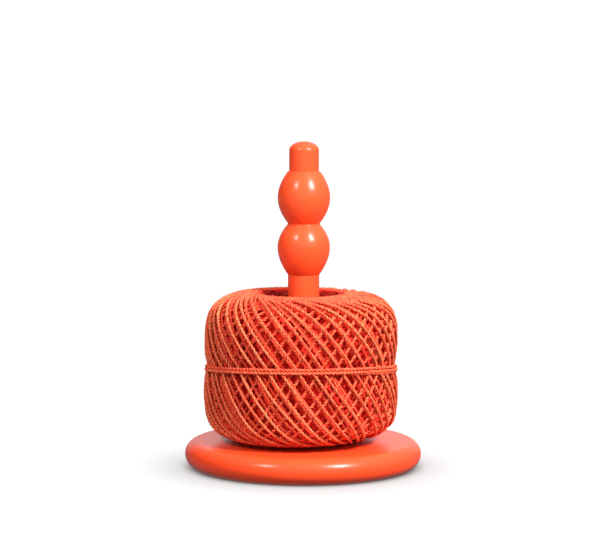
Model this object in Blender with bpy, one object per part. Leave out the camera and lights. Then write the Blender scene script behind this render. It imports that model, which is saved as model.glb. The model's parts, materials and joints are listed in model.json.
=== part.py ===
"""A ball of cross-wound twine over the post of a turned wooden stand.

Metres, +Z up. The origin is the middle of the base's underside, -Y is the front and +X the right.
Three pieces: the base disc, the turned spindle whose tenon sits in it, and the wound ball.
"""
import math

import bmesh
import bpy
import numpy as np

MM = 0.001
TOUCH_GAP = 0.3 * MM  # kept wherever two pieces meet
MERGE_DISTANCE = 0.001 * MM
WOOD_SHARP_ANGLE = math.radians(35)
TWINE_SHARP_ANGLE = math.radians(80)

# Base disc, with a full round edge and a blind socket for the tenon
BASE_RADIUS = 58.9 * MM
BASE_THICKNESS = 13.1 * MM
BASE_STEPS = 64
EDGE_STEPS = 9
TENON_RADIUS = 5.0 * MM
SOCKET_FLOOR = 5.0 * MM

# Spindle, turned from one piece of wood
POST_RADIUS = 7.8 * MM
NECK_RADIUS = 8.0 * MM
BEAD_RADIUS = 13.0 * MM
CAP_RADIUS = 7.4 * MM
CAP_FOOT = 147.5 * MM
DOME_HEIGHT = 4.5 * MM
SPINDLE_TOP = 162.4 * MM
SPINDLE_STEPS = 48
BEAD_STEPS = 10
DOME_STEPS = 5
# Heights of each bead's lower end, widest place and upper end
BEADS = (
    {"low": 96.5 * MM, "widest": 110.0 * MM, "high": 121.3 * MM},
    {"low": 121.9 * MM, "widest": 134.5 * MM, "high": 147.5 * MM},
)

# Wound ball: its section beside the post is a squarish oval, wider outside the crest than inside
BALL_OFFSET = -1.1 * MM  # the ball sits a little to the left on its post
BALL_FOOT = BASE_THICKNESS + TOUCH_GAP
BALL_TOP = 87.6 * MM
CREST_RADIUS = 22.5 * MM
UPPER_RADIUS = 48.4 * MM
LOWER_RADIUS = 48.7 * MM
BORE_RADIUS = 16.5 * MM
OUTER_POWERS = (2.6, 5.4)  # across and up, in |x|^p + |z|^q = 1
BORE_POWERS = (2.4, 3.6)
FLAT_RADII = (19.5 * MM, 26.0 * MM)  # the flat ring that it rests on
WAIST_DIP = 0.7 * MM
WAIST_SPREAD = 7.0 * MM
SECTION_POINTS = 4001
# Slack places of the winding: depth, angle round the ball, distance above the equator and spread
SLACK_PLACES = (
    (1.0 * MM, math.radians(50), -40.0 * MM, 11.0 * MM),
    (1.0 * MM, math.radians(150), 52.0 * MM, 10.0 * MM),
    (0.5 * MM, math.radians(-100), 34.0 * MM, 10.0 * MM),
)

# Main twists: every turn climbs over the ball on one tilted loop
TWISTS = 40
COLUMNS_PER_TWIST = 3
TWIST_REACH = 53.5 * MM  # from the equator to where a turn lies level on the top
TWIST_SWING = (1.058, 0.058)  # shares of the first and third sine in a turn's climb
TWIST_POINTS = 721
TWIST_STOP = math.radians(72)
TWIST_HEIGHT = 1.5 * MM
TWIST_FADE = (40.0 * MM, 56.0 * MM)
TWIST_UNEVEN = 0.22  # share of the even spacing
UNEVEN_WAVES = ((2.4, 0.0, 0.6), (5.3, 1.0, 0.4))  # step, start and share of each wave

# Turns around the waist, on a plane that rises to the front
WAIST_RISE = 4.85 * MM
WAIST_PROUD = 0.5 * MM
WAIST_HALF = 1.7 * MM
WAIST_FOOT = 3.3 * MM
SETTLE_ROUNDS = 4
UPPER_ROWS = 13
LOWER_ROWS = 13
BORE_ROWS = 9

# Colour, roughness
LACQUER = ((0.86, 0.10, 0.035, 1.0), 0.35)
TWINE = ((0.80, 0.075, 0.03, 1.0), 0.9)


def clear_scene():
    """Removes whatever objects the open file holds."""
    for thing in list(bpy.data.objects):
        bpy.data.objects.remove(thing, do_unlink=True)


def make_material(name, colour, roughness):
    """One plain Principled finish."""
    material = bpy.data.materials.new(name)
    material.use_nodes = True
    shader = material.node_tree.nodes["Principled BSDF"]
    shader.inputs["Base Color"].default_value = colour
    shader.inputs["Roughness"].default_value = roughness
    shader.inputs["Metallic"].default_value = 0.0
    return material


def add_object(name, bm, material, sharp_angle):
    """Turns a bmesh into a named, smooth shaded object with its faces pointing out."""
    bmesh.ops.recalc_face_normals(bm, faces=bm.faces)
    mesh = bpy.data.meshes.new(name)
    bm.to_mesh(mesh)
    bm.free()
    mesh.materials.append(material)
    mesh.shade_smooth()
    mesh.set_sharp_from_angle(angle=sharp_angle)
    thing = bpy.data.objects.new(name, mesh)
    bpy.context.scene.collection.objects.link(thing)
    return thing


def turn_profile(profile, steps):
    """Spins an outline of (radius, height) points, which starts and ends on the axis, around +Z."""
    bm = bmesh.new()
    points = [bm.verts.new((radius, 0.0, height)) for radius, height in profile]
    lines = [bm.edges.new(pair) for pair in zip(points, points[1:])]
    bmesh.ops.spin(bm, geom=points + lines, cent=(0, 0, 0), axis=(0, 0, 1),
                   angle=math.tau, steps=steps, use_duplicate=False)
    bmesh.ops.remove_doubles(bm, verts=bm.verts, dist=MERGE_DISTANCE)
    return bm


def base_profile():
    """Flat underside, half-round edge, flat top, and the socket that takes the tenon."""
    edge = BASE_THICKNESS / 2
    socket = TENON_RADIUS + TOUCH_GAP
    outline = [(0.0, 0.0)]
    for step in range(EDGE_STEPS + 1):
        angle = math.pi * (step / EDGE_STEPS - 0.5)
        outline.append((BASE_RADIUS - edge + edge * math.cos(angle), edge + edge * math.sin(angle)))
    outline += [(socket, BASE_THICKNESS), (socket, SOCKET_FLOOR), (0.0, SOCKET_FLOOR)]
    return outline


def bead_outline(bead):
    """A bead's side is two parabolas that meet at its widest place."""
    outline = []
    for step in range(BEAD_STEPS + 1):
        share = step / BEAD_STEPS
        height = bead["low"] + (bead["high"] - bead["low"]) * share
        end = bead["low"] if height < bead["widest"] else bead["high"]
        away = (height - bead["widest"]) / (end - bead["widest"])
        outline.append((NECK_RADIUS + (BEAD_RADIUS - NECK_RADIUS) * (1 - away * away), height))
    return outline


def spindle_profile():
    """Tenon, straight post, two beads and a small cap with a domed end."""
    foot = BASE_THICKNESS + TOUCH_GAP
    tenon_foot = SOCKET_FLOOR + TOUCH_GAP
    outline = [(0.0, tenon_foot), (TENON_RADIUS, tenon_foot), (TENON_RADIUS, foot), (POST_RADIUS, foot)]
    for bead in BEADS:
        outline += bead_outline(bead)
    outline.append((CAP_RADIUS, CAP_FOOT + TOUCH_GAP))
    for step in range(DOME_STEPS + 1):
        angle = math.pi / 2 * step / DOME_STEPS
        height = SPINDLE_TOP - DOME_HEIGHT + DOME_HEIGHT * math.sin(angle)
        outline.append((CAP_RADIUS * math.cos(angle), height))
    return outline


def smooth_step(low, high, value):
    """0 below low, 1 above high, and a smooth rise between."""
    share = np.clip((value - low) / (high - low), 0.0, 1.0)
    return share * share * (3 - 2 * share)


def oval(angle, half_width, powers):
    """A quarter-by-quarter oval |x|^p + |z|^q = 1: sideways reach and height at an angle from level."""
    across = half_width * np.abs(np.cos(angle)) ** (2 / powers[0])
    up = np.sign(np.sin(angle)) * np.abs(np.sin(angle)) ** (2 / powers[1])
    return across, up


def outer_side():
    """The ball's outer side from crest to foot: distance from the equator, radius and height."""
    angle = np.linspace(math.pi / 2, -math.pi / 2, SECTION_POINTS)
    half_width = np.where(angle > 0, UPPER_RADIUS, LOWER_RADIUS) - CREST_RADIUS
    across, up = oval(angle, half_width, OUTER_POWERS)
    middle = (BALL_TOP + BALL_FOOT) / 2
    height = middle + up * (BALL_TOP - BALL_FOOT) / 2
    radius = CREST_RADIUS + across - WAIST_DIP * np.exp(-((height - middle) / WAIST_SPREAD) ** 2)
    run = np.concatenate([[0.0], np.cumsum(np.hypot(np.diff(radius), np.diff(height)))])
    place = np.interp(0.0, -angle, run) - run
    return place, radius, height


def twist_turn(place):
    """How far round the ball a turn has come at a distance above the equator.

    A turn on a tilted loop is at the height -reach * (1.058 sin a + 0.058 sin 3a) when it has come
    round by the angle a, so it crosses the waist steeply and lies level where it meets the rim.
    """
    turned = np.linspace(-math.pi / 2, math.pi / 2, TWIST_POINTS)
    fallen = TWIST_SWING[0] * np.sin(turned) + TWIST_SWING[1] * np.sin(3 * turned)
    return np.clip(np.interp(-place / TWIST_REACH, fallen, turned), -TWIST_STOP, TWIST_STOP)


def twist_angles():
    """The angle at which each column of points crosses the equator; each twist has three columns."""
    twist = np.arange(TWISTS)
    uneven = sum(share * np.sin(twist * step + start) for step, start, share in UNEVEN_WAVES)
    centre = (twist + TWIST_UNEVEN * uneven) / TWISTS
    side = (np.arange(COLUMNS_PER_TWIST) - 1) / (COLUMNS_PER_TWIST * TWISTS)
    return math.tau * (centre[:, None] + side[None, :]).ravel()


def outer_rows():
    """Distances above the equator at which the outer side has a row of points, crest to foot."""
    place = outer_side()[0]
    upper = np.linspace(place[0], WAIST_FOOT, UPPER_ROWS)
    lower = np.linspace(-WAIST_FOOT, place[-1], LOWER_ROWS)
    return np.concatenate([upper, [WAIST_HALF, -WAIST_HALF], lower])


def outer_points(rows, columns):
    """Points of the outer side, pushed out along the twists and around the waist."""
    place, radius, height = outer_side()
    reach = place[0]
    crossing = np.tile(columns, (len(rows), 1))
    level = np.repeat(rows[:, None], len(columns), axis=1)
    rise = WAIST_RISE * (1 - (level / reach) ** 2)
    at = level
    for _ in range(SETTLE_ROUNDS):
        angle = crossing + twist_turn(at)
        at = level + rise * np.cos(angle)
    at = np.clip(at, place[-1], place[0])
    here_radius = np.interp(-at, -place, radius)
    here_height = np.interp(-at, -place, height)
    slope_radius = np.interp(-at, -place, np.gradient(radius, place))
    slope_height = np.interp(-at, -place, np.gradient(height, place))
    length = np.hypot(slope_radius, slope_height)
    out_radius, out_height = slope_height / length, -slope_radius / length

    on_top = (np.arange(len(columns)) % COLUMNS_PER_TWIST == 1)[None, :]
    shown = 1 - smooth_step(TWIST_FADE[0], TWIST_FADE[1], np.abs(level))
    push = -TWIST_HEIGHT * np.where(on_top, 0.0, shown)
    push = np.where(np.abs(level) < (WAIST_HALF + WAIST_FOOT) / 2, WAIST_PROUD, push)
    for depth, side, where, spread in SLACK_PLACES:
        push -= depth * np.exp(-((at - where) / spread) ** 2) * np.maximum(0, np.cos(angle - side))
    return angle, here_radius + out_radius * push, here_height + out_height * push


def bore_points(columns, start_turn):
    """Points of the bore, from the foot up to the crest, on the same columns."""
    angle = np.linspace(-math.pi / 2, math.pi / 2, BORE_ROWS + 2)[1:-1]
    across, up = oval(angle, CREST_RADIUS - BORE_RADIUS, BORE_POWERS)
    middle = (BALL_TOP + BALL_FOOT) / 2
    radius = np.repeat((CREST_RADIUS - across)[:, None], len(columns), axis=1)
    height = np.repeat((middle + up * (BALL_TOP - BALL_FOOT) / 2)[:, None], len(columns), axis=1)
    return np.tile(columns + start_turn, (BORE_ROWS, 1)), radius, height


def ball_mesh():
    """A closed ring of rows; the bore's last row meets the crest's row some columns further on."""
    columns = twist_angles()
    outer = outer_points(outer_rows(), columns)
    bore = bore_points(columns, TWIST_STOP)
    angle, radius, height = (np.concatenate(pair) for pair in zip(outer, bore))
    flat = (radius > FLAT_RADII[0]) & (radius < FLAT_RADII[1]) & (height < BALL_FOOT + WAIST_PROUD)
    height = np.maximum(np.where(flat, BALL_FOOT, height), BALL_FOOT)
    # The front is where the angle is 0, and the angle grows towards the right
    points = np.stack([BALL_OFFSET + radius * np.sin(angle), -radius * np.cos(angle), height], axis=2)

    bm = bmesh.new()
    grid = [[bm.verts.new(point) for point in row] for row in points]
    around = len(columns)
    shift = round(2 * TWIST_STOP / math.tau * around)
    for row in range(len(grid)):
        last = row == len(grid) - 1
        below = grid[0] if last else grid[row + 1]
        move = shift if last else 0
        for column in range(around):
            here, beside = grid[row][column], grid[row][(column + 1) % around]
            under = below[(column + move) % around]
            under_beside = below[(column + 1 + move) % around]
            # Cut across the short way, because the columns lean with the twists
            bm.faces.new((here, beside, under))
            bm.faces.new((beside, under_beside, under))
    return bm


def main():
    clear_scene()
    lacquer = make_material("lacquered_wood", *LACQUER)
    twine = make_material("twine", *TWINE)
    add_object("base", turn_profile(base_profile(), BASE_STEPS), lacquer, WOOD_SHARP_ANGLE)
    add_object("spindle", turn_profile(spindle_profile(), SPINDLE_STEPS), lacquer, WOOD_SHARP_ANGLE)
    add_object("twine_ball", ball_mesh(), twine, TWINE_SHARP_ANGLE)


main()
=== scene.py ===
# %% [markdown]
# # A ball of twine on a turned stand
# The object is a cross-wound ball of orange twine that sits over the post of a small turned stand.
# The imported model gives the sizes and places. This file adds the looks: every turn of the twine as a
# real twisted strand, the lacquered wood, a pale floor and soft studio light.

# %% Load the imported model
import json
import math

import bpy
import numpy as np
from mathutils import Matrix, Vector

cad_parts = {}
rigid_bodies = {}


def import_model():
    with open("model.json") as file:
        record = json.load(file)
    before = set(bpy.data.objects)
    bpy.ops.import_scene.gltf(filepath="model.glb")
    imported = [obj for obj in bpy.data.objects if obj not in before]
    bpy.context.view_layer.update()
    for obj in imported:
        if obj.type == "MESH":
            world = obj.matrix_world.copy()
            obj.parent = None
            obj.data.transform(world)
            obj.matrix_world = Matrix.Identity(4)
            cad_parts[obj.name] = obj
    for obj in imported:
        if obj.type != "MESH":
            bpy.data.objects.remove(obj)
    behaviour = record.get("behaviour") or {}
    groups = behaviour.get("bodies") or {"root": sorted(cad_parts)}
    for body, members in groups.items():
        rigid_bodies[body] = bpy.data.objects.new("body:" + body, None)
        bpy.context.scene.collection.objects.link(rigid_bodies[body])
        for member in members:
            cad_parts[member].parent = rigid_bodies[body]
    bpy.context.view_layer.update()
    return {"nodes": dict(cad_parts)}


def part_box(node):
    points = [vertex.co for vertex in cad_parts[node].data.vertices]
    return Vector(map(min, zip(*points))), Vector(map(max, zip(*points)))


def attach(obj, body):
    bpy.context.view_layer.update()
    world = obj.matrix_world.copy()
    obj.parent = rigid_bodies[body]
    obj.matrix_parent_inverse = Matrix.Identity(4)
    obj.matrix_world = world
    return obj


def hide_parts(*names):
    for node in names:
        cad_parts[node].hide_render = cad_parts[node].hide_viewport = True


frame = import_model()
MM = 0.001
print("nodes:", sorted(frame["nodes"]))

# %% [markdown]
# ## Sizes
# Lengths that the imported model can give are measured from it. The others are repeated from the
# part's source, because this script reads nothing else from disk.

# %% Sizes taken from the model and from the part's source
ball_low, ball_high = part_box("twine_ball")
BALL_FOOT, BALL_TOP = ball_low[2], ball_high[2]
BALL_MIDDLE = (BALL_FOOT + BALL_TOP) / 2
BALL_OFFSET = -1.1 * MM
CREST_RADIUS = 22.5 * MM
UPPER_RADIUS = 48.4 * MM
LOWER_RADIUS = 48.7 * MM
BORE_RADIUS = 16.5 * MM
OUTER_POWERS = (2.6, 5.4)
BORE_POWERS = (2.4, 3.6)
WAIST_DIP = 0.7 * MM
WAIST_SPREAD = 7.0 * MM
# Slack places of the winding: depth, angle round the ball, distance above the equator and spread
SLACK_PLACES = (
    (1.0 * MM, math.radians(50), -40.0 * MM, 11.0 * MM),
    (1.0 * MM, math.radians(150), 52.0 * MM, 10.0 * MM),
    (0.5 * MM, math.radians(-100), 34.0 * MM, 10.0 * MM),
)
print("ball from %.1f to %.1f mm" % (BALL_FOOT / MM, BALL_TOP / MM))

# %% [markdown]
# ## The camera
# The photograph looks down on the stand by about six and a half degrees from 1.4 m away. The lens
# makes 1 mm at the spindle two pixels wide in a frame of 600 by 556. The real axis leans a touch to
# the right, so the camera is rolled by a fifth of a degree.

# %% Set the camera
CAMERA_DISTANCE = 1.4
CAMERA_HEIGHT = 0.2534
AIM_HEIGHT = 0.0944
CAMERA_ASIDE = -1.8 * MM
CAMERA_LENS = 170.27
CAMERA_ROLL = math.radians(0.2)

camera_data = bpy.data.cameras.new("camera")
camera_data.lens = CAMERA_LENS
camera_data.sensor_width = 36.0
camera_data.sensor_fit = "HORIZONTAL"
camera_data.clip_end = 100.0
camera = bpy.data.objects.new("camera", camera_data)
bpy.context.scene.collection.objects.link(camera)
camera_place = Vector((CAMERA_ASIDE, -CAMERA_DISTANCE, CAMERA_HEIGHT))
camera_aim = Vector((CAMERA_ASIDE, 0.0, AIM_HEIGHT))
facing = (camera_aim - camera_place).to_track_quat("-Z", "Y").to_matrix().to_4x4()
camera.matrix_world = Matrix.Translation(camera_place) @ facing @ Matrix.Rotation(CAMERA_ROLL, 4, "Z")
bpy.context.scene.camera = camera
print("camera at", tuple(round(v, 4) for v in camera_place))

# %% [markdown]
# ## A small language for shaders
# A finish is easier to read as arithmetic than as a web of nodes. `Value` wraps one socket, so that
# `1 - mask` or `noise * 0.2 + 0.5` adds the Math nodes it needs. `Finish` holds one material, and its
# `add` method makes any other node from its type, its settings and its inputs.

# %% The shader helpers
class Value:
    """One number that varies over a surface: a socket, with arithmetic that adds Math nodes."""

    def __init__(self, finish, socket):
        self.finish = finish
        self.socket = socket

    def math(self, operation, *others):
        node = self.finish.nodes.new("ShaderNodeMath")
        node.operation = operation
        for place, item in enumerate((self,) + others):
            self.finish.feed(node.inputs[place], item)
        return Value(self.finish, node.outputs[0])

    def __add__(self, other):
        return self.math("ADD", other)

    def __mul__(self, other):
        return self.math("MULTIPLY", other)

    def __sub__(self, other):
        return self.math("SUBTRACT", other)

    def __rsub__(self, other):
        flipped = self * -1.0
        return flipped + other

    __radd__ = __add__
    __rmul__ = __mul__

    def clamped(self):
        return self.math("MAXIMUM", 0.0).math("MINIMUM", 1.0)


class Finish:
    """One Principled material under construction."""

    def __init__(self, name):
        self.material = bpy.data.materials.new(name)
        self.material.use_nodes = True
        tree = self.material.node_tree
        self.nodes, self.links = tree.nodes, tree.links
        self.shader = self.nodes["Principled BSDF"]

    def feed(self, socket, item):
        """Links a Value or a socket to a socket, or sets a plain number or colour on it."""
        if isinstance(item, Value):
            self.links.new(item.socket, socket)
        elif isinstance(item, bpy.types.NodeSocket):
            self.links.new(item, socket)
        else:
            socket.default_value = item

    def add(self, kind, settings=None, inputs=None, output=0):
        """Any node: its type, its settings, then the values or links of its sockets."""
        node = self.nodes.new(kind)
        for name, value in (settings or {}).items():
            setattr(node, name, value)
        for name, item in (inputs or {}).items():
            self.feed(node.inputs[name], item)
        return Value(self, node.outputs[output])

    def mix(self, factor, first, second):
        """A colour between two colours: the first at factor 0, the second at factor 1."""
        node = self.nodes.new("ShaderNodeMix")
        node.data_type = "RGBA"
        self.feed(node.inputs[0], factor)
        self.feed(node.inputs[6], first)
        self.feed(node.inputs[7], second)
        return Value(self, node.outputs[2])

    def set(self, **sockets):
        """Sets or links the shader's own sockets; an underscore stands for a space."""
        for name, item in sockets.items():
            self.feed(self.shader.inputs[name.replace("_", " ")], item)


print("shader helpers ready")

# %% [markdown]
# ## Meshes from arrays
# Every new surface is worked out as numpy arrays. `put_mesh` hands the points and faces to Blender,
# with a UV map and any named number that the finish reads.

# %% The mesh helper
def put_mesh(name, points, quads, triangles=None, uv=None, values=None, material=None):
    """Makes a smooth mesh object that sits at the origin, with its place in its points."""
    faces = quads.tolist() + (triangles.tolist() if triangles is not None else [])
    mesh = bpy.data.meshes.new(name)
    mesh.from_pydata(points.tolist(), [], faces)
    if uv is not None:
        layer = mesh.uv_layers.new(name="along_and_around")
        layer.data.foreach_set("uv", uv.astype(np.float32).ravel())
    for label, numbers in (values or {}).items():
        attribute = mesh.attributes.new(label, "FLOAT", "POINT")
        attribute.data.foreach_set("value", numbers.astype(np.float32).ravel())
    mesh.shade_smooth()
    mesh.update()
    thing = bpy.data.objects.new(name, mesh)
    bpy.context.scene.collection.objects.link(thing)
    if material is not None:
        mesh.materials.append(material)
    print("%s: %d triangles" % (name, len(quads) * 2 + (0 if triangles is None else len(triangles))))
    return thing


print("mesh helper ready")

# %% [markdown]
# ## The ball's section
# Cut through beside the post, the ball is a squarish oval ring: wide outside its crest and narrow
# inside, with a slight waist. It could be drawn by hand as a spline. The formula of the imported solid
# is used instead, so that the turns lie on the solid's own surface. A place on the section is the
# distance along it from the equator, upwards over the shoulder and the crest and down into the bore.

# %% The section as a curve
SECTION_POINTS = 2001


def oval_quarter(angle, half_width, powers):
    """|x|^p + |z|^q = 1: sideways reach cos^(2/p) and height sin^(2/q) at an angle from level."""
    across = half_width * np.abs(np.cos(angle)) ** (2 / powers[0])
    up = np.sign(np.sin(angle)) * np.abs(np.sin(angle)) ** (2 / powers[1])
    return across, BALL_MIDDLE + up * (BALL_TOP - BALL_FOOT) / 2


def whole_section():
    """Place, radius and height all round: mid-bore, foot, equator, crest and back to mid-bore.

    The outside is the crest's radius plus an oval quarter, less a bell-shaped dip at the waist. The
    bore is the crest's radius less a narrower oval quarter, the same above and below.
    """
    angle = np.linspace(-math.pi / 2, math.pi / 2, SECTION_POINTS)
    width = np.where(angle > 0, UPPER_RADIUS, LOWER_RADIUS) - CREST_RADIUS
    across, height = oval_quarter(angle, width, OUTER_POWERS)
    radius = CREST_RADIUS + across - WAIST_DIP * np.exp(-((height - BALL_MIDDLE) / WAIST_SPREAD) ** 2)
    inner = np.linspace(math.pi / 2, 0, SECTION_POINTS // 2)[1:]
    bore_across, bore_height = oval_quarter(inner, CREST_RADIUS - BORE_RADIUS, BORE_POWERS)
    bore_radius = CREST_RADIUS - bore_across
    low_height = 2 * BALL_MIDDLE - bore_height
    radius = np.concatenate([bore_radius[::-1], radius, bore_radius])
    height = np.concatenate([low_height[::-1], height, bore_height])
    run = np.concatenate([[0.0], np.cumsum(np.hypot(np.diff(radius), np.diff(height)))])
    equator = run[len(bore_radius) + SECTION_POINTS // 2]
    return run - equator, radius, height


SECTION = whole_section()
SECTION_SLOPE = (np.gradient(SECTION[1], SECTION[0]), np.gradient(SECTION[2], SECTION[0]))
CREST_PLACE = SECTION[0][np.argmax(SECTION[2])]
print("from the equator to the crest: %.1f mm" % (CREST_PLACE / MM))


def on_ball(place, angle, depth):
    """Points under the ball's outer form at a place along the section and an angle round it.

    The front is angle 0 and the angle grows to the right. Depth is measured inwards along the
    section's own normal, and the winding lies deeper where it is slack.
    """
    radius = np.interp(place, SECTION[0], SECTION[1])
    height = np.interp(place, SECTION[0], SECTION[2])
    slope_radius = np.interp(place, SECTION[0], SECTION_SLOPE[0])
    slope_height = np.interp(place, SECTION[0], SECTION_SLOPE[1])
    length = np.hypot(slope_radius, slope_height)
    out_radius, out_height = slope_height / length, -slope_radius / length
    for slack, side, where, spread in SLACK_PLACES:
        near = np.exp(-((place - where) / spread) ** 2) * np.maximum(0, np.cos(angle - side))
        depth = depth + slack * near
    radius, height = radius - out_radius * depth, height - out_height * depth
    points = np.stack([BALL_OFFSET + radius * np.sin(angle), -radius * np.cos(angle), height], axis=-1)
    normals = np.stack([out_radius * np.sin(angle), -out_radius * np.cos(angle), out_height], axis=-1)
    return points, normals


# %% [markdown]
# ## One strand of twine
# The twine is two plies twisted together. A curve with a round bevel would give a plain hose. Here the
# section is round with two grooves, and the ring of points turns as it goes along, so that the grooves
# wind round the strand. All strands of one layer are made at once, as one array of rings.

# %% Strands from centre lines
TWINE_RADIUS = 0.80 * MM
TWINE_LAY = 4.0 * MM
END_PINCH = 0.3
# Radius of each of the ring's points, as a share of the strand's radius
TWO_PLIES = np.array([1.0, 0.90, 0.64, 0.90, 1.0, 0.90, 0.64, 0.90])
PLAIN_STRAND = np.array([1.0, 0.80, 0.84, 1.0, 0.80, 0.84])
chance = np.random.default_rng(7)


def strand_frames(centre, normal, closed):
    """Along, up and side directions at every point of every strand."""
    if closed:
        along = np.roll(centre, -1, axis=1) - np.roll(centre, 1, axis=1)
    else:
        along = np.gradient(centre, axis=1)
    along /= np.linalg.norm(along, axis=2, keepdims=True)
    side = np.cross(along, normal)
    side /= np.linalg.norm(side, axis=2, keepdims=True)
    return along, np.cross(side, along), side


def strand_mesh(name, centre, normal, sunk, closed, plies, radius, material, lay=TWINE_LAY):
    """Twisted tubes round many centre lines.

    A ring's point j lies at radius * plies[j], at the angle 2 pi (j / sides + length / lay) from
    up towards side. A closed strand is given a whole number of turns, so that it meets itself.
    An open one is pinched at its ends and closed by a fan of triangles. The painted shade says for
    each ring how much shade is painted on it: 0 outside, 1 deep between the turns, 2 in the bore.
    """
    strands, steps, _ = centre.shape
    sides = len(plies)
    along, up, side = strand_frames(centre, normal, closed)
    step = np.linalg.norm(np.diff(centre, axis=1, append=centre[:, :1]), axis=2)
    length = np.concatenate([np.zeros((strands, 1)), np.cumsum(step, axis=1)], axis=1)
    total = length[:, -1:] if closed else length[:, -2:-1]
    turns = np.round(total / lay) * length[:, :-1] / total
    start = chance.uniform(0, 1, (strands, 1))
    swing = 2 * np.pi * ((turns + start)[:, :, None] + np.arange(sides) / sides)
    thick = radius * plies * np.ones((strands, steps, 1))
    if not closed:
        thick[:, [0, -1]] *= END_PINCH
    ring = centre[:, :, None] + thick[..., None] * (
        np.cos(swing)[..., None] * up[:, :, None] + np.sin(swing)[..., None] * side[:, :, None])

    number = np.arange(strands * steps * sides).reshape(strands, steps, sides)
    here = number if closed else number[:, :-1]
    after = np.roll(number, -1, axis=1) if closed else number[:, 1:]
    quads = np.stack([here, np.roll(here, -1, 2), np.roll(after, -1, 2), after], axis=-1).reshape(-1, 4)
    rings = here.shape[1]
    first = np.broadcast_to(length[:, :rings, None], here.shape)
    last = np.broadcast_to(length[:, 1:rings + 1, None], here.shape)
    low = np.broadcast_to(np.arange(sides) / sides, here.shape)
    high = low + 1 / sides
    uv = np.stack([first, low, first, high, last, high, last, low], axis=-1).reshape(-1, 2)

    points = ring.reshape(-1, 3)
    triangles = None
    if not closed:
        ends = np.concatenate([centre[:, 0], centre[:, -1]])
        tip = len(points) + np.arange(2 * strands)
        points = np.concatenate([points, ends])
        heads, tails = number[:, 0], number[:, -1]
        start_tip = np.broadcast_to(tip[:strands, None], heads.shape)
        end_tip = np.broadcast_to(tip[strands:, None], tails.shape)
        start_fan = np.stack([start_tip, np.roll(heads, -1, 1), heads], axis=-1)
        end_fan = np.stack([end_tip, tails, np.roll(tails, -1, 1)], axis=-1)
        triangles = np.concatenate([start_fan.reshape(-1, 3), end_fan.reshape(-1, 3)])
        uv = np.concatenate([uv, np.zeros((len(triangles) * 3, 2))])
    tone = np.broadcast_to(chance.uniform(0, 1, (strands, 1, 1)), number.shape).ravel()
    groove = np.broadcast_to((1 - plies) / (1 - plies.min()), number.shape).ravel()
    sunk = np.asarray(sunk, float)
    sunk = np.broadcast_to(sunk.reshape(sunk.shape + (1,) * (3 - sunk.ndim)), number.shape).ravel()
    values = {"tone": tone, "groove": groove, "sunk": sunk}
    spare = len(points) - len(tone)
    values = {label: np.pad(numbers, (0, spare), mode="edge") for label, numbers in values.items()}
    return put_mesh(name, points, quads, triangles, uv, values, material)


print("twine %.1f mm thick, one twist in %.1f mm" % (2 * TWINE_RADIUS / MM, TWINE_LAY / MM))

# %% [markdown]
# ## The twine's finish
# Dyed jute is matt and a little hairy: fine fibres run along each ply, the grooves between the plies
# are darker, which is painted shade, and one turn is a little lighter or duller than the next. The
# colour is a strong orange. Between the turns light bounces from twine to twine and turns deep red,
# more so than a render's few bounces show. So each point of a strand carries a number of painted
# shade, mostly from how deep it lies in the ball, and the finish goes from orange to a painted red
# with it, and on to a painted dark red inside the bore. The foot and the rim get some of it too.

# %% Twine material
# How fine the noise is along the strand, around it, and from one tone to the next
FIBRE_GRAIN = (900.0, 9.0, 40.0)
PATCH_GRAIN = (90.0, 1.5, 25.0)
# How high the fibres and grooves stand in the bump
FIBRE_RELIEF = 0.35 * MM


def strand_noise(finish, strand_place, grain, detail, roughness):
    """Noise at (along, around, tone) times the grain, so that it is drawn out along the strand."""
    place = finish.add("ShaderNodeCombineXYZ", inputs={
        label: part * scale for label, part, scale in zip("XYZ", strand_place, grain)})
    return finish.add("ShaderNodeTexNoise", {"noise_dimensions": "3D"}, {
        "Vector": place, "Scale": 1.0, "Detail": detail, "Roughness": roughness})


def twine_finish(name, outside, inside, bore):
    """Fibre specks and ply grooves on the strand's own UV map, a tone for each turn, redder inside.

    Outside is the lit twine; inside and bore are painted shade, between the turns and in the bore.
    Each is a light and a dark colour. The mix of light and dark is 0.6 + 3.2 (fibres - 0.5) + 1.5
    (patches - 0.5) + 0.3 (tone - 0.5) - 0.6 groove, where the groove term is painted shade in the ply
    grooves. The painted shade leads from outside at 0 over inside at 1 to bore at 2.
    """
    finish = Finish(name)
    uv = finish.add("ShaderNodeUVMap", {"uv_map": "along_and_around"})
    tone, groove, sunk = (
        finish.add("ShaderNodeAttribute", {"attribute_name": label}, output=2)
        for label in ("tone", "groove", "sunk"))
    split = finish.nodes.new("ShaderNodeSeparateXYZ")
    finish.feed(split.inputs[0], uv)
    strand_place = (Value(finish, split.outputs[0]), Value(finish, split.outputs[1]), tone)
    fibres = strand_noise(finish, strand_place, FIBRE_GRAIN, 3.0, 0.65)
    patches = strand_noise(finish, strand_place, PATCH_GRAIN, 2.0, 0.5)
    # The groove term darkens the ply grooves: painted shade
    shade = (fibres * 3.2 + patches * 1.5 + tone * 0.3 - groove * 0.6 - 1.9).clamped()
    bore_shade_share = (sunk - 1.0).clamped()
    # Painted shade: the colour turns red between the turns and dark red in the bore
    light, dark = (
        finish.mix(bore_shade_share, finish.mix(sunk, outside[end], inside[end]), bore[end])
        for end in (0, 1))
    finish.set(
        Base_Color=finish.mix(shade, dark, light),
        Roughness=(fibres * 0.2 + 0.75).clamped(),
        Sheen_Weight=0.10,
        Sheen_Roughness=0.5,
        Sheen_Tint=(1.0, 0.6, 0.35, 1.0),
        Specular_IOR_Level=0.2,
        Normal=finish.add("ShaderNodeBump", inputs={
            "Strength": 1.0, "Distance": FIBRE_RELIEF, "Height": fibres - groove * 0.6}),
    )
    return finish.material
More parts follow.
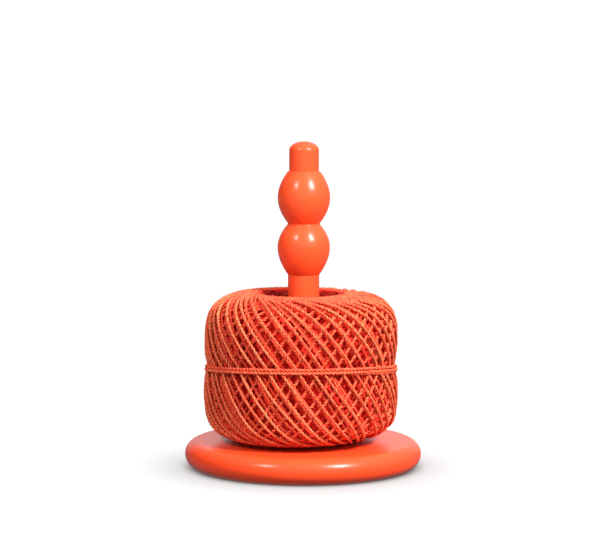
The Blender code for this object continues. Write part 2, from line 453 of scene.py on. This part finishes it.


# Each pair is the lightest and the darkest fibre: outside is the lit twine, the other two are painted shade
# between the turns and in the bore
OUTSIDE_TWINE = ((0.97, 0.275, 0.112, 1.0), (0.76, 0.056, 0.026, 1.0))
SHADED_TWINE = ((0.98, 0.034, 0.014, 1.0), (0.90, 0.012, 0.007, 1.0))
BORE_SHADED_TWINE = ((0.46, 0.006, 0.007, 1.0), (0.34, 0.003, 0.004, 1.0))
twine = twine_finish("twine_fibres", OUTSIDE_TWINE, SHADED_TWINE, BORE_SHADED_TWINE)
print("twine finish made")

# %% [markdown]
# ## How the ball is wound
# A winding machine carries the twine over the ball in tilted loops. One loop leaves the rim level,
# crosses the waist steeply from upper left to lower right, lies level at the foot, and comes back up
# on the far side. Each loop starts a little further round than the last, so the outside shows one
# family of turns leaning one way over another that leans the other way. Loops of earlier layers
# reach further over the crest, and those are the turns that show inside the bore. The angle along a
# loop is 0 where it crosses the equator going down, and place = -reach * climb(angle).

# %% Loops of the winding
TWISTS = 40
TWIST_REACH = 53.5 * MM
TWIST_SWING = (1.058, 0.058)
TWIST_UNEVEN = 0.22
UNEVEN_WAVES = ((2.4, 0.0, 0.6), (5.3, 1.0, 0.4))
WAIST_RISE = 4.85 * MM
WAIST_PINCH = 0.9 * MM
WAIST_PINCH_SPREAD = 3.0 * MM
LAYER = 1.6 * MM
LOOP_SAMPLES = 7201
# These go by the cosine of the angle along a loop, which is 0 where the loop turns back at its ends.
# The half that leans back sinks over the span, and at the ends the loop rises to the surface again.
# Where the halves are mingled, a loop sinks by at most this share of what it may rise.
SINK_SPAN = 0.9
END_RISE, END_SPREAD = 0.5, 0.35
MINGLED_SINK = 0.5
# A buried loop comes up to the surface between these distances from the end of its reach
TOP_UNCOVERED = (23 * MM, 10 * MM)
FOOT_UNCOVERED = (12 * MM, 1 * MM)
# Painted shade: how it grows with depth, and what is added at the foot, at the rim and in the bore, each
# over a span
FULL_SHADE_DEPTH = 4.5 * MM
FOOT_PAINTED_SHADE, FOOT_SPAN = 1.3, (33 * MM, 52 * MM)
RIM_PAINTED_SHADE, RIM_SPAN = 0.28, (30 * MM, 44 * MM)
BORE_LIP_PAINTED_SHADE, BORE_SPAN = 1.6, (CREST_PLACE - 0.5 * MM, CREST_PLACE + 4.5 * MM)
# Around these angles the two halves are wound through each other, by these shares of a layer
MINGLED = ((math.radians(65), 0.6), (math.radians(-140), 0.6))
MINGLED_END = (30 * MM, 46 * MM)
WANDER_WAVES = np.array([3, 5, 8, 13])


def climb(turned):
    """Share of the reach that a loop has fallen when it has come round by an angle."""
    return TWIST_SWING[0] * np.sin(turned) + TWIST_SWING[1] * np.sin(3 * turned)


def even_steps(reach, steps, back_share):
    """Angles along one loop that lie evenly along its length, sparser on the half that leans back."""
    fine = np.linspace(-math.pi / 2, 1.5 * math.pi, LOOP_SAMPLES)
    place = -reach * climb(fine)
    radius = np.interp(place, SECTION[0], SECTION[1])
    stride = np.hypot(np.diff(place), np.diff(fine) * (radius[1:] + radius[:-1]) / 2)
    stride *= np.where(np.cos(fine[1:]) > 0, 1.0, back_share)
    run = np.concatenate([[0.0], np.cumsum(stride)])
    return np.interp(np.linspace(0, run[-1], steps, endpoint=False), run, fine)


def twist_starts(count):
    """Where each loop crosses the equator; the outermost follow the solid's own raised twists."""
    twist = np.arange(count)
    uneven = sum(share * np.sin(twist * step + start) for step, start, share in UNEVEN_WAVES)
    return 2 * np.pi * (twist + TWIST_UNEVEN * uneven) / count


def chance_starts(count):
    """Where buried loops cross the equator: an even spacing, each moved by up to 0.4 of a step."""
    return 2 * np.pi * (np.arange(count) + chance.uniform(-0.4, 0.4, count)) / count


def wander(turned, count, size):
    """A slow closed wobble: sines with whole numbers of waves and a chance start for each loop."""
    start = chance.uniform(0, 2 * np.pi, (count, 1, len(WANDER_WAVES)))
    share = chance.normal(0, 1, (count, 1, len(WANDER_WAVES))) / np.sqrt(WANDER_WAVES)
    return size * (share * np.sin(turned[None, :, None] * WANDER_WAVES + start)).sum(axis=2)


def smooth_step(low, high, value):
    """0 below low, 1 above high, and a smooth rise between."""
    share = np.clip((value - low) / (high - low), 0.0, 1.0)
    return share * share * (3 - 2 * share)


def waist_pinch(place, angle):
    """Everything dips under the turns round the waist: a bell of their distance, pinch * exp(-d^2)."""
    away = (place - WAIST_RISE * np.cos(angle)) / WAIST_PINCH_SPREAD
    return WAIST_PINCH * np.exp(-away ** 2)


def mingled(angle):
    """1 where both halves lie equally deep and 0 where one covers the other: a sum of cosine lobes."""
    return sum(share * np.maximum(0, np.cos(angle - middle)) ** 1.5 for middle, share in MINGLED)


def wind_loops(turned, starts, reach, reach_spread, buried, back_layer, wobble):
    """Centre lines of many loops: the half that leans back lies some way under the other half.

    Place is -reach * climb, with a reach of its own for each loop. Depth is half a strand, plus the
    back layer where the loop leans back, plus the layers buried over it, which thin out to nothing
    over the upper shoulder and before the loop's lower turn. Where the halves are mingled, each loop
    rises or sinks by a share of its own. The third result is the painted shade of each place: more the
    deeper it lies, and more at the foot, round the rim and at the bore's lip.
    """
    count = len(starts)
    own_reach = reach + reach_spread * chance.uniform(-1, 1, (count, 1))
    place = -own_reach * climb(turned)[None, :] + wander(turned, count, wobble)
    angle = starts[:, None] + turned[None, :] + wander(turned, count, wobble / UPPER_RADIUS)
    ahead = np.cos(turned)[None, :]
    back = (smooth_step(-SINK_SPAN, SINK_SPAN, -ahead)
            - END_RISE * np.exp(-(ahead / END_SPREAD) ** 2))
    rise, sink = chance.uniform(0, 1, (2, count, 1))
    woven = mingled(angle) * (1 - smooth_step(*MINGLED_END, np.abs(place)))
    swap = MINGLED_SINK * sink * np.maximum(0, ahead) - rise * np.maximum(0, -ahead)
    back = back + woven * swap
    covered = 1 - (smooth_step(reach - TOP_UNCOVERED[0], reach - TOP_UNCOVERED[1], place)
                   + smooth_step(reach - FOOT_UNCOVERED[0], reach - FOOT_UNCOVERED[1], -place))
    depth = back_layer * back + buried * covered + waist_pinch(place, angle)
    # Painted shade added at the foot, round the rim and at the bore's lip
    shaded = (FOOT_PAINTED_SHADE * smooth_step(*FOOT_SPAN, -place)
              + RIM_PAINTED_SHADE * smooth_step(*RIM_SPAN, place)
              + BORE_LIP_PAINTED_SHADE * smooth_step(*BORE_SPAN, place))
    # Painted shade, fuller the deeper a place lies, plus the painted shade at the foot, rim and bore's lip
    sunk = smooth_step(0.0, FULL_SHADE_DEPTH, depth) + shaded
    return *on_ball(place, angle, TWINE_RADIUS + depth), sunk


OUTER_STEPS = 480
outer_turned = even_steps(TWIST_REACH, OUTER_STEPS, back_share=0.55)
outer_starts = twist_starts(TWISTS)
outer_centre, outer_normal, outer_painted_shade = wind_loops(
    outer_turned, outer_starts, reach=TWIST_REACH, reach_spread=2.2 * MM, buried=0.0,
    back_layer=1.15 * LAYER, wobble=0.35 * MM)
outer_pieces = [
    strand_mesh("outer_turns_" + label, outer_centre[part::2], outer_normal[part::2], outer_painted_shade[part::2],
                closed=True, plies=TWO_PLIES, radius=TWINE_RADIUS, material=twine)
    for part, label in enumerate(("even", "odd"))]

# %% [markdown]
# ## The layers underneath
# Two more families fill the gaps. They are made with fewer faces, because only short stretches of
# them show, and they reach further over the crest than the outermost loops.

# %% Under and deep turns
def hidden_layer(name, reach, buried, count, steps, plies):
    """One buried family of loops, started at chance angles near an even spacing."""
    turned = even_steps(reach, steps, back_share=0.8)
    starts = chance_starts(count)
    centre, normal, sunk = wind_loops(
        turned, starts, reach, reach_spread=2.5 * MM, buried=buried,
        back_layer=1.2 * LAYER, wobble=0.45 * MM)
    return strand_mesh(name, centre, normal, sunk,
                       closed=True, plies=plies, radius=TWINE_RADIUS, material=twine)


under_turns = hidden_layer(
    "under_turns", reach=56.5 * MM, buried=1.3 * LAYER, count=62, steps=260, plies=PLAIN_STRAND)
deep_turns = hidden_layer(
    "deep_turns", reach=60.0 * MM, buried=2.4 * LAYER, count=60, steps=240, plies=PLAIN_STRAND[:5])

# %% [markdown]
# ## Turns inside the bore
# The earliest loops hug the hollow core. Only their turning ends show, as nearly level strands on the
# bore's wall, so only those ends are made. Below them, level rings line the wall down to the foot.

# %% Bore turns
# The turns on the bore's wall are painted in the dark red of the bore's shade
BORE_WALL_PAINTED_SHADE = 2.0
# An arc ends where it reaches the cut. From there to the second place it comes up from its cover.
ARC_REACHES = np.array([64.0, 68.0, 73.0, 78.0, 83.0]) * MM
ARC_CUT, ARC_UNCOVERED = 47.0 * MM, 58.0 * MM
ARC_COVER = 3.6 * LAYER
BORE_MIDDLE = SECTION[0][-1]
RING_PITCH = 1.6 * MM
RINGS_BELOW_CREST, RINGS_ABOVE_FOOT = 80 * MM, 66 * MM


def bore_arcs(name, reaches, count, steps):
    """The top ends of loops that turn inside the bore: each arc is cut where the ball covers it.

    Place is -reach * climb, as for a whole loop, and only where it lies above the cut. Depth is half
    a strand, a chance lift of up to 0.8 mm, and the cover where the arc dives under the outside.
    """
    lines = []
    quarter = np.linspace(0, math.pi / 2, 181)
    for reach in reaches:
        lowest = np.interp(ARC_CUT / reach, climb(quarter), quarter)
        turned = np.linspace(-math.pi + lowest, -lowest, steps)
        starts = chance_starts(count)
        place = -reach * climb(turned)[None, :] + wander(turned, count, 0.35 * MM)
        angle = starts[:, None] + turned[None, :]
        covered = 1 - smooth_step(ARC_CUT, ARC_UNCOVERED, np.abs(place))
        lift = chance.uniform(0, 0.8, (count, 1)) * MM
        lines.append(on_ball(place, angle, TWINE_RADIUS + lift + ARC_COVER * covered))
    centre, normal = (np.concatenate(group) for group in zip(*lines))
    return strand_mesh(name, centre, normal, BORE_WALL_PAINTED_SHADE,
                       closed=False, plies=PLAIN_STRAND, radius=TWINE_RADIUS, material=twine)


def bore_rings(name, places, steps):
    """Level closed turns on the bore's wall: each wobbles by 0.3 mm about one place on the section.

    Depth is half a strand, 0.6 mm, and a chance lift of up to 0.5 mm.
    """
    angle = np.linspace(0, 2 * np.pi, steps, endpoint=False)
    place = places[:, None] + wander(angle, len(places), 0.3 * MM)
    lift = chance.uniform(0, 0.5, (len(places), 1)) * MM
    centre, normal = on_ball(place, angle[None, :] + 0 * place, TWINE_RADIUS + 0.6 * MM + lift)
    return strand_mesh(name, centre, normal, BORE_WALL_PAINTED_SHADE,
                       closed=True, plies=PLAIN_STRAND[:5], radius=TWINE_RADIUS, material=twine)


bore_turns = bore_arcs("bore_turns", ARC_REACHES, count=40, steps=40)
ring_places = np.concatenate([
    np.arange(RINGS_BELOW_CREST, BORE_MIDDLE, RING_PITCH),
    -np.arange(RINGS_ABOVE_FOOT, BORE_MIDDLE, RING_PITCH)])
lining_turns = bore_rings("lining_turns", ring_places, steps=100)

# %% [markdown]
# ## The turns around the waist
# Before the ball is sold, a few turns are pulled round its waist to hold it. They lie on a plane that
# rises to the front, two of them side by side at the left and a third below them at the right.

# %% Waist turns
WAIST_STEPS = 520
# The waist turns get a little painted shade
WAIST_PAINTED_SHADE = 0.3
# Each turn's height over the waist's plane at the left, middle and right of the front, and its depth
WAIST_TURNS = (
    {"left": -0.2 * MM, "middle": -0.45 * MM, "right": 0.4 * MM, "depth": 0.75 * MM},
    {"left": -1.8 * MM, "middle": -2.0 * MM, "right": -1.3 * MM, "depth": 0.65 * MM},
    {"left": -1.2 * MM, "middle": -1.7 * MM, "right": -3.0 * MM, "depth": 1.15 * MM},
)


def waist_lines():
    """Closed turns on a plane whose height is rise * cos(angle).

    Over it, a turn's front follows the parabola in sin(angle) through its left, middle and right
    heights, and its back stays at the middle height.
    """
    angle = np.linspace(-math.pi, math.pi, WAIST_STEPS, endpoint=False)
    rows = []
    for turn in WAIST_TURNS:
        side = np.sin(angle)
        front = (1 + np.cos(angle)) / 2
        over = (turn["middle"] * (1 - side ** 2)
                + turn["right"] * side * (1 + side) / 2 - turn["left"] * side * (1 - side) / 2)
        place = WAIST_RISE * np.cos(angle) + over * front + turn["middle"] * (1 - front)
        rows.append(on_ball(place, angle, turn["depth"]))
    return (np.stack(group) for group in zip(*rows))


waist_centre, waist_normal = waist_lines()
waist_turns = strand_mesh("waist_turns", waist_centre, waist_normal, WAIST_PAINTED_SHADE,
                          closed=True, plies=TWO_PLIES, radius=TWINE_RADIUS, material=twine)

# %% [markdown]
# ## The wound core
# What shows between the deepest turns is more twine, too far in to tell strand from strand. More
# layers of strands would cost many faces for a few dark specks. So the core is one closed ring, with
# bumps in two crossing directions.

# %% Core
CORE_DEPTH = 4.6 * LAYER
CORE_BORE_DEPTH = 2.2 * MM
CORE_BLEND = 6 * MM
CORE_RIPPLES = 40
RIPPLE_LENGTH, RIPPLE_HEIGHT = 7 * MM, 0.5 * MM
CORE_CALM = 0.3
CORE_FIBRES_AROUND = 20


def core_ring(name, around_steps, section_steps):
    """A closed ring: the section taken in by a depth, and by another in the bore.

    The ripple outside the bore is height * (sin(40 angle + slant) + sin(40 angle - slant)), where the
    slant grows by a whole turn in each ripple length along the section.
    """
    place = np.linspace(SECTION[0][0], SECTION[0][-1], section_steps, endpoint=False)[:, None]
    angle = np.linspace(0, 2 * np.pi, around_steps, endpoint=False)[None, :]
    in_bore = smooth_step(CREST_PLACE - CORE_BLEND, CREST_PLACE + CORE_BLEND, np.abs(place))
    slant = 2 * np.pi * place / RIPPLE_LENGTH
    crossing = np.sin(CORE_RIPPLES * angle + slant) + np.sin(CORE_RIPPLES * angle - slant)
    ripple = RIPPLE_HEIGHT * crossing
    inside = CORE_DEPTH + (CORE_BORE_DEPTH - CORE_DEPTH) * in_bore + ripple * (1 - in_bore)
    points, _ = on_ball(place + 0 * angle, angle + 0 * place, inside)
    number = np.arange(points.shape[0] * points.shape[1]).reshape(points.shape[:2])
    after = np.roll(number, -1, axis=0)
    quads = np.stack([number, np.roll(number, -1, 1), np.roll(after, -1, 1), after], axis=-1).reshape(-1, 4)
    flat = points.reshape(-1, 3)
    around = (angle + 0 * place) / (2 * np.pi) * CORE_FIBRES_AROUND
    uv = np.stack([place + 0 * angle, around], axis=-1).reshape(-1, 2)[quads.ravel()]
    calm = np.full(len(flat), CORE_CALM)
    # The core is painted in the full shade between the turns
    values = {"tone": calm, "groove": calm, "sunk": np.ones(len(flat))}
    return put_mesh(name, flat, quads, None, uv, values, twine)


wound_core = core_ring("wound_core", around_steps=160, section_steps=90)

# %% [markdown]
# ## Loose fibres
# Jute sheds short hairs. Blender's hair could grow them, but only meshes are exported. So a few
# thousand tiny three-sided fibres stand off the outer turns, made as strands are, each leaving along
# its strand and curling away from the ball.

# %% Loose fibres
FIBRES = 3600
FIBRE_RADIUS = 0.035 * MM
FIBRE_STEPS = 5
FIBRE_SECTION = np.array([1.0, 0.95, 1.0])
FIBRE_PAINTED_SHADE = 0.0
FIBRE_LAY = 1.0
# Shape and scale, in mm, of the gamma spread of their lengths: 1.8 mm on average
FIBRE_LENGTHS = (4.0, 0.45)
# Shares of up and side in a fibre's heading and in its bend, and where in the strand it is rooted
HEADING_UP, HEADING_SIDE = (0.1, 0.7), 0.6
BEND_UP, BEND_SIDE = (-0.2, 0.4), 0.4
ROOT_SIDE, ROOT_DEPTH = 0.5, 0.75


def fibre_lines(centre, normal, count):
    """Short curved lines: root + length * t * heading + length * t^2 * bend, for t from 0 to 1.

    The heading is along the strand, either way, with a chance share up and to the side. The root lies
    just inside the strand's surface.
    """
    strand = chance.integers(0, centre.shape[0], count)
    step = chance.integers(0, centre.shape[1], count)
    along = centre[strand, (step + 1) % centre.shape[1]] - centre[strand, step]
    along /= np.linalg.norm(along, axis=1, keepdims=True)
    up = normal[strand, step]
    side = np.cross(along, up)
    heading = (along * chance.choice([-1, 1], (count, 1))
               + up * chance.uniform(*HEADING_UP, (count, 1))
               + side * chance.normal(0, HEADING_SIDE, (count, 1)))
    heading /= np.linalg.norm(heading, axis=1, keepdims=True)
    bend = (up * chance.uniform(*BEND_UP, (count, 1))
            + side * chance.normal(0, BEND_SIDE, (count, 1)))
    length = chance.gamma(*FIBRE_LENGTHS, count)[:, None, None] * MM
    outwards = up + side * chance.normal(0, ROOT_SIDE, (count, 1))
    root = centre[strand, step] + outwards * TWINE_RADIUS * ROOT_DEPTH
    t = np.linspace(0, 1, FIBRE_STEPS)[None, :, None]
    line = root[:, None] + length * (t * heading[:, None] + t ** 2 * bend[:, None])
    return line, np.broadcast_to(np.cross(heading, side)[:, None], line.shape)


fibre_centre, fibre_normal = fibre_lines(outer_centre, outer_normal, FIBRES)
loose_fibres = strand_mesh("loose_fibres", fibre_centre, fibre_normal, FIBRE_PAINTED_SHADE, closed=False,
                           plies=FIBRE_SECTION, radius=FIBRE_RADIUS, material=twine, lay=FIBRE_LAY)

twine_pieces = outer_pieces + [
    under_turns, deep_turns, bore_turns, lining_turns, waist_turns, wound_core, loose_fibres]
for piece in twine_pieces:
    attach(piece, "root")
    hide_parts("twine_ball")

# %% [markdown]
# ## The turned wood
# A turned piece is one outline spun round its axis, as on the lathe. A Screw modifier would do it too.
# Worked out as an array, each pole is one point, and rings can lie where the shading needs them: close
# to a crease, because a smooth mesh shades over the whole face beside it. The outlines are the solid's
# own, with finer steps.

# %% Turned outlines
BASE_RADIUS = 58.9 * MM
BASE_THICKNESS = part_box("base")[1][2]
TOUCH_GAP = 0.3 * MM
TENON_RADIUS = 5.0 * MM
SOCKET_FLOOR = 5.0 * MM
POST_RADIUS = 7.8 * MM
NECK_RADIUS = 8.0 * MM
BEAD_RADIUS = 13.0 * MM
CAP_RADIUS = 7.4 * MM
CAP_FOOT = 147.5 * MM
DOME_HEIGHT = 4.5 * MM
CREASE = 0.1 * MM
# Rings on the base's flat faces, on the post above the base and on the cap above its foot
BASE_RINGS = (20 * MM, 44 * MM)
POST_RINGS = (30 * MM, 60 * MM)
CAP_RING = 4 * MM
RIM_STEPS, BEAD_STEPS, DOME_STEPS = 33, 41, 17
SPINDLE_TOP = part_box("spindle")[1][2]
BEADS = (
    {"low": 96.5 * MM, "widest": 110.0 * MM, "high": 121.3 * MM},
    {"low": 121.9 * MM, "widest": 134.5 * MM, "high": 147.5 * MM},
)


def turned_piece(name, outline, steps, material):
    """Spins an outline of (radius, height) that starts and ends on the axis; each end is one point."""
    radius, height = np.array(outline[1:-1]).T
    angle = np.linspace(0, 2 * np.pi, steps, endpoint=False)
    body = np.stack([radius[:, None] * np.cos(angle), radius[:, None] * np.sin(angle),
                     height[:, None] + 0 * angle], axis=-1)
    number = np.arange(body.shape[0] * steps).reshape(-1, steps)
    beside = np.roll(number, -1, axis=1)
    quads = np.stack([number[:-1], beside[:-1], beside[1:], number[1:]], axis=-1).reshape(-1, 4)
    ends = np.array([[0, 0, outline[0][1]], [0, 0, outline[-1][1]]])
    points = np.concatenate([body.reshape(-1, 3), ends])
    first = np.stack([np.full(steps, len(points) - 2), beside[0], number[0]], axis=-1)
    last = np.stack([np.full(steps, len(points) - 1), number[-1], beside[-1]], axis=-1)
    return put_mesh(name, points, quads, np.concatenate([first, last]), None, None, material)


def base_outline():
    """Underside, half-round edge, top and socket; the edge is a half circle of the disc's thickness."""
    edge = BASE_THICKNESS / 2
    turn = np.linspace(-math.pi / 2, math.pi / 2, RIM_STEPS)
    rim = list(zip(BASE_RADIUS - edge + edge * np.cos(turn), edge + edge * np.sin(turn)))
    inner, outer = BASE_RINGS
    under = [(0.0, 0.0), (inner, 0.0), (outer, 0.0)]
    socket = TENON_RADIUS + TOUCH_GAP
    top = [(outer, BASE_THICKNESS), (inner, BASE_THICKNESS), (socket, BASE_THICKNESS),
           (socket, SOCKET_FLOOR), (0.0, SOCKET_FLOOR)]
    return under + rim + top


def bead_outline(bead):
    """Two parabolas that meet at the widest place: neck + (bead - neck) * (1 - away^2).

    Away is the distance from the widest place as a share of its half. The heights go by the cosine of
    an even angle, so the rings lie closest at the creases.
    """
    share = (1 - np.cos(np.linspace(0, math.pi, BEAD_STEPS))) / 2
    height = bead["low"] + (bead["high"] - bead["low"]) * share
    end = np.where(height < bead["widest"], bead["low"], bead["high"])
    away = (height - bead["widest"]) / (end - bead["widest"])
    return list(zip(NECK_RADIUS + (BEAD_RADIUS - NECK_RADIUS) * (1 - away ** 2), height))


def spindle_outline():
    """Tenon, post, two beads and the small domed cap, whose dome is a quarter of an ellipse."""
    foot = BASE_THICKNESS + TOUCH_GAP
    tenon_end = SOCKET_FLOOR + TOUCH_GAP
    tenon = [(0.0, tenon_end), (TENON_RADIUS, tenon_end), (TENON_RADIUS, foot)]
    post_heights = [foot, foot + POST_RINGS[0], foot + POST_RINGS[1],
                    BEADS[0]["low"] - 3 * CREASE, BEADS[0]["low"] - CREASE]
    post = [(POST_RADIUS, height) for height in post_heights]
    lift = np.linspace(0, math.pi / 2, DOME_STEPS)
    dome = list(zip(CAP_RADIUS * np.cos(lift), SPINDLE_TOP - DOME_HEIGHT + DOME_HEIGHT * np.sin(lift)))
    cap = [(CAP_RADIUS, CAP_FOOT + over) for over in (CREASE, 3 * CREASE, CAP_RING)]
    outline = tenon + post + bead_outline(BEADS[0]) + bead_outline(BEADS[1]) + cap + dome
    outline[-1] = (0.0, SPINDLE_TOP)
    return outline


print("spindle's outline: %d points, base's: %d" % (len(spindle_outline()), len(base_outline())))

# %% [markdown]
# ## The lacquer
# Opaque orange lacquer over wood: a satin film with the faintest ripple, a slow drift in colour, and
# fine rings that the lathe left under the film. The base looks a little deeper in colour than the
# spindle, so the colour changes with height below the ball. Everything reads Object coordinates,
# because the pattern belongs to the wood, and the wood needs no UV map.

# %% Lacquer material and turned pieces
DRIFT_SCALE = 35.0
RIPPLE_SCALE = 420.0
LATHE_SCALE = (160.0, 160.0, 900.0)


def lacquer_finish(name, colour, deep_colour, foot_colour):
    """Object coordinates: slow noise for colour, fine noise for ripple, rings round the axis.

    The foot colour takes over below the ball: its share is 1.9 - 100 * height, held between 0 and 1.
    """
    finish = Finish(name)
    place = finish.add("ShaderNodeTexCoord", output=3)
    height = finish.add("ShaderNodeSeparateXYZ", inputs={"Vector": place}, output=2)
    foot = (1.9 - height * 100.0).clamped()
    drift = finish.add(
        "ShaderNodeTexNoise", inputs={"Vector": place, "Scale": DRIFT_SCALE, "Detail": 2.0})
    ripple = finish.add(
        "ShaderNodeTexNoise", inputs={"Vector": place, "Scale": RIPPLE_SCALE, "Detail": 2.0})
    lathe_place = finish.add("ShaderNodeMapping", inputs={"Vector": place, "Scale": LATHE_SCALE})
    rings = finish.add(
        "ShaderNodeTexNoise", inputs={"Vector": lathe_place, "Scale": 1.0, "Detail": 3.0})
    finish.set(
        Base_Color=finish.mix(foot, finish.mix(drift, deep_colour, colour), foot_colour),
        Roughness=(drift * 0.06 + rings * 0.04 + 0.22).clamped(),
        Specular_IOR_Level=0.26,
        Normal=finish.add("ShaderNodeBump", inputs={
            "Strength": 0.06, "Distance": 0.1 * MM, "Height": ripple * 0.7 + rings * 0.3}),
    )
    return finish.material


LACQUER = (0.92, 0.078, 0.021, 1.0)
LACQUER_DEEP = (0.88, 0.068, 0.017, 1.0)
LACQUER_FOOT = (0.92, 0.064, 0.016, 1.0)
lacquer = lacquer_finish("orange_lacquer", LACQUER, LACQUER_DEEP, LACQUER_FOOT)
turned_base = turned_piece("turned_base", base_outline(), steps=192, material=lacquer)
turned_spindle = turned_piece("turned_spindle", spindle_outline(), steps=128, material=lacquer)
for piece, node in ((turned_base, "base"), (turned_spindle, "spindle")):
    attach(piece, "root")
    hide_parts(node)

# %% [markdown]
# ## The floor
# The photograph's floor is white and runs on behind the object, with only a faint grey shade close
# round the base. A plain surface would turn grey all over, so this one glows nearly white, and the
# glow fades where the Ambient Occlusion node finds the floor less open. It is left out of the object's
# own bounced light and reflections, where it would be far too bright.

# %% Floor
FLOOR_HALF = 40.0
FLOOR_COLOUR = (0.25, 0.26, 0.262, 1.0)
FLOOR_GLOW = 0.90
CONTACT_REACH = 0.05
CONTACT_SAMPLES = 16
BLACK, WHITE = (0.0, 0.0, 0.0, 1.0), (1.0, 1.0, 1.0, 1.0)
floor_mesh = bpy.data.meshes.new("floor")
floor_mesh.from_pydata([(-FLOOR_HALF, -FLOOR_HALF, 0), (FLOOR_HALF, -FLOOR_HALF, 0),
                        (FLOOR_HALF, FLOOR_HALF, 0), (-FLOOR_HALF, FLOOR_HALF, 0)], [], [(0, 1, 2, 3)])
floor = bpy.data.objects.new("floor", floor_mesh)
bpy.context.scene.collection.objects.link(floor)
floor_finish = Finish("pale_floor")
# The glow fades where the floor is less open: a painted contact shadow round the base
openness = floor_finish.add(
    "ShaderNodeAmbientOcclusion", {"samples": CONTACT_SAMPLES}, {"Distance": CONTACT_REACH}, output=1)
floor_finish.set(Base_Color=FLOOR_COLOUR, Roughness=0.9, Specular_IOR_Level=0.2,
                 Emission_Color=floor_finish.mix(openness, BLACK, WHITE),
                 Emission_Strength=FLOOR_GLOW)
floor_mesh.materials.append(floor_finish.material)
floor.visible_diffuse = False
floor.visible_glossy = False
print("floor %.0f m wide" % (2 * FLOOR_HALF))

# %% [markdown]
# ## Two soft boxes
# The highlights on every bead come from two soft boxes at the front left and the front right, both
# raised by 39 degrees, the right one larger and brighter. Light linking keeps them off the floor, where
# they would cast two clear shadows that the photograph doesn't have.

# %% Lights
LIGHT_TARGET = Vector((0.0, 0.0, 0.10))
BOX_ELEVATION = math.radians(39)
BOX_DISTANCE = 0.9
SOFT_BOXES = (
    {"name": "right_box", "azimuth": 42, "wide": 0.18, "tall": 0.27, "watts": 15.5},
    {"name": "left_box", "azimuth": -42, "wide": 0.08, "tall": 0.115, "watts": 4.4},
)
lit_by_boxes = bpy.data.collections.new("lit_by_boxes")
for thing in bpy.data.objects:
    if thing.type == "MESH" and thing != floor:
        lit_by_boxes.objects.link(thing)
for box in SOFT_BOXES:
    across = math.radians(box["azimuth"])
    level = Vector((math.sin(across), -math.cos(across), 0.0))
    away = level * math.cos(BOX_ELEVATION) + Vector((0.0, 0.0, math.sin(BOX_ELEVATION)))
    light_data = bpy.data.lights.new(box["name"], "AREA")
    light_data.shape = "RECTANGLE"
    light_data.size, light_data.size_y = box["wide"], box["tall"]
    light_data.energy = box["watts"]
    light = bpy.data.objects.new(box["name"], light_data)
    bpy.context.scene.collection.objects.link(light)
    light.location = LIGHT_TARGET + away * BOX_DISTANCE
    light.rotation_euler = (-away).to_track_quat("-Z", "Y").to_euler()
    light.light_linking.receiver_collection = lit_by_boxes
    print("%s: %.1f W" % (box["name"], box["watts"]))

# %% [markdown]
# ## The sky
# A pale sky fills the rest. It grows brighter with height and towards the right. A glow straight in
# front lights the middle of the ball, one straight behind shines along the base's top, and a weak one
# from below stands in for the light that a real floor sends back up.

# %% Sky
SKY_LOW, SKY_HIGH = 0.22, 1.45
SKY_LEFT, SKY_RIGHT = 0.03, 1.10
# Each glow fades over a span of one part of the direction
BACKDROP_GLOW, BACKDROP_SPAN = 0.65, (0.80, 0.97)
FRONT_GLOW, FRONT_SPAN = 0.88, (-1.0, -0.5)
FLOOR_SHINE, HORIZON_SPAN = 0.24, (-0.02, 0.0)
world = bpy.data.worlds.new("studio")
world.use_nodes = True
sky_nodes, sky_links = world.node_tree.nodes, world.node_tree.links
direction = sky_nodes.new("ShaderNodeTexCoord")
parts = sky_nodes.new("ShaderNodeSeparateXYZ")
sky_links.new(direction.outputs["Generated"], parts.inputs[0])


def sky_ramp(part, start, end, low, high):
    """A strength that goes from low to high while a part of the direction goes from start to end."""
    ramp = sky_nodes.new("ShaderNodeMapRange")
    for name, value in (("From Min", start), ("From Max", end), ("To Min", low), ("To Max", high)):
        ramp.inputs[name].default_value = value
    sky_links.new(parts.outputs[part], ramp.inputs["Value"])
    return ramp.outputs[0]


def sky_math(operation, first, second):
    """One Math node between two strengths."""
    node = sky_nodes.new("ShaderNodeMath")
    node.operation = operation
    sky_links.new(first, node.inputs[0])
    sky_links.new(second, node.inputs[1])
    return node.outputs[0]


higher = sky_ramp("Z", 0.0, 1.0, SKY_LOW, SKY_HIGH)
further_right = sky_ramp("X", -1.0, 1.0, SKY_LEFT, SKY_RIGHT)
behind = sky_ramp("Y", *BACKDROP_SPAN, 0.0, BACKDROP_GLOW)
in_front = sky_ramp("Y", *FRONT_SPAN, FRONT_GLOW, 0.0)
below = sky_ramp("Z", *HORIZON_SPAN, FLOOR_SHINE, 0.0)
above = sky_ramp("Z", *HORIZON_SPAN, 0.0, 1.0)
strength = sky_math("MULTIPLY", higher, further_right)
for glow in (behind, in_front):
    strength = sky_math("ADD", strength, glow)
strength = sky_math("ADD", sky_math("MULTIPLY", strength, above), below)
sky_links.new(strength, sky_nodes["Background"].inputs["Strength"])
sky_nodes["Background"].inputs["Color"].default_value = WHITE
bpy.context.scene.world = world
bpy.context.scene.view_settings.view_transform = "Standard"
print("sky ready")
